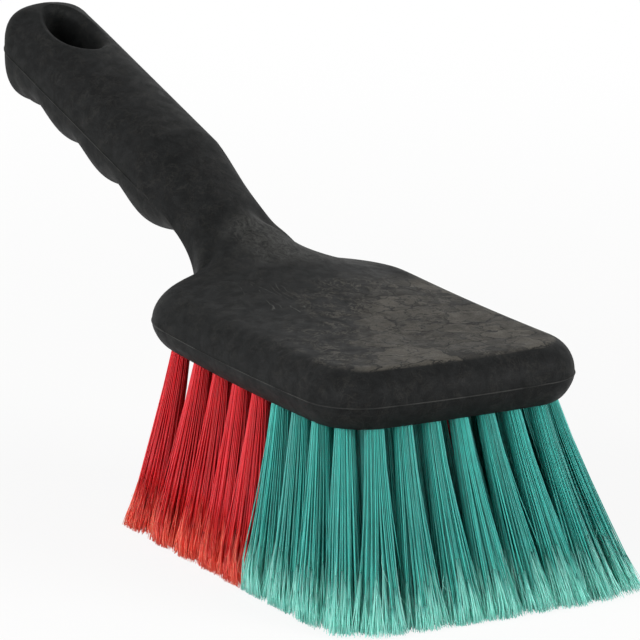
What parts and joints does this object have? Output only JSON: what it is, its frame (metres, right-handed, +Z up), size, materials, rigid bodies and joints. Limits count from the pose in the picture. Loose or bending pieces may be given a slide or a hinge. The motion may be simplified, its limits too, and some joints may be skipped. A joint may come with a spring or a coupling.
{
  "type": "short-handled scrub brush",
  "caption": "Short-handled wash brush with a finger-grooved black moulded grip and block and splayed red and green bristle tufts trimmed flat",
  "frame": {"origin": "below the middle of the whole brush, on the plane of the trimmed bristle tips", "axes": "+X from the grip's end to the block's front edge, the longest extent; +Y across the block, the shortest extent; +Z up from the bristle tips to the grip; metres"},
  "size_m": [0.2672, 0.0952, 0.1124],
  "materials": {
    "black moulded polypropylene": "fine satin moulded surface with faint flow marks",
    "red polyester bristle": "drawn filament, soft sheen, flagged tips",
    "green polyester bristle": "drawn filament, soft sheen, flagged tips"
  },
  "bodies": {
    "root": {"brush_body": "black moulded polypropylene", "green_tuft_01": "green polyester bristle", "green_tuft_02": "green polyester bristle", "green_tuft_03": "green polyester bristle", "green_tuft_04": "green polyester bristle", "green_tuft_05": "green polyester bristle", "green_tuft_06": "green polyester bristle", "green_tuft_07": "green polyester bristle", "green_tuft_08": "green polyester bristle", "green_tuft_09": "green polyester bristle", "green_tuft_10": "green polyester bristle", "green_tuft_11": "green polyester bristle", "green_tuft_12": "green polyester bristle", "green_tuft_13": "green polyester bristle", "green_tuft_14": "green polyester bristle", "green_tuft_15": "green polyester bristle", "green_tuft_16": "green polyester bristle", "green_tuft_17": "green polyester bristle", "green_tuft_18": "green polyester bristle", "green_tuft_19": "green polyester bristle", "green_tuft_20": "green polyester bristle", "green_tuft_21": "green polyester bristle", "green_tuft_22": "green polyester bristle", "green_tuft_23": "green polyester bristle", "green_tuft_24": "green polyester bristle", "green_tuft_25": "green polyester bristle", "green_tuft_26": "green polyester bristle", "green_tuft_27": "green polyester bristle", "red_tuft_01": "red polyester bristle", "red_tuft_02": "red polyester bristle", "red_tuft_03": "red polyester bristle", "red_tuft_04": "red polyester bristle", "red_tuft_05": "red polyester bristle", "red_tuft_06": "red polyester bristle", "red_tuft_07": "red polyester bristle", "red_tuft_08": "red polyester bristle", "red_tuft_09": "red polyester bristle", "red_tuft_10": "red polyester bristle", "red_tuft_11": "red polyester bristle", "red_tuft_12": "red polyester bristle", "red_tuft_13": "red polyester bristle", "red_tuft_14": "red polyester bristle", "red_tuft_15": "red polyester bristle", "red_tuft_16": "red polyester bristle", "red_tuft_17": "red polyester bristle", "red_tuft_18": "red polyester bristle", "red_tuft_19": "red polyester bristle", "red_tuft_20": "red polyester bristle", "red_tuft_21": "red polyester bristle", "red_tuft_22": "red polyester bristle", "red_tuft_23": "red polyester bristle", "red_tuft_24": "red polyester bristle", "red_tuft_25": "red polyester bristle", "red_tuft_26": "red polyester bristle", "red_tuft_27": "red polyester bristle", "red_tuft_28": "red polyester bristle", "red_tuft_29": "red polyester bristle", "red_tuft_30": "red polyester bristle", "red_tuft_31": "red polyester bristle"}
  },
  "joints": []
}
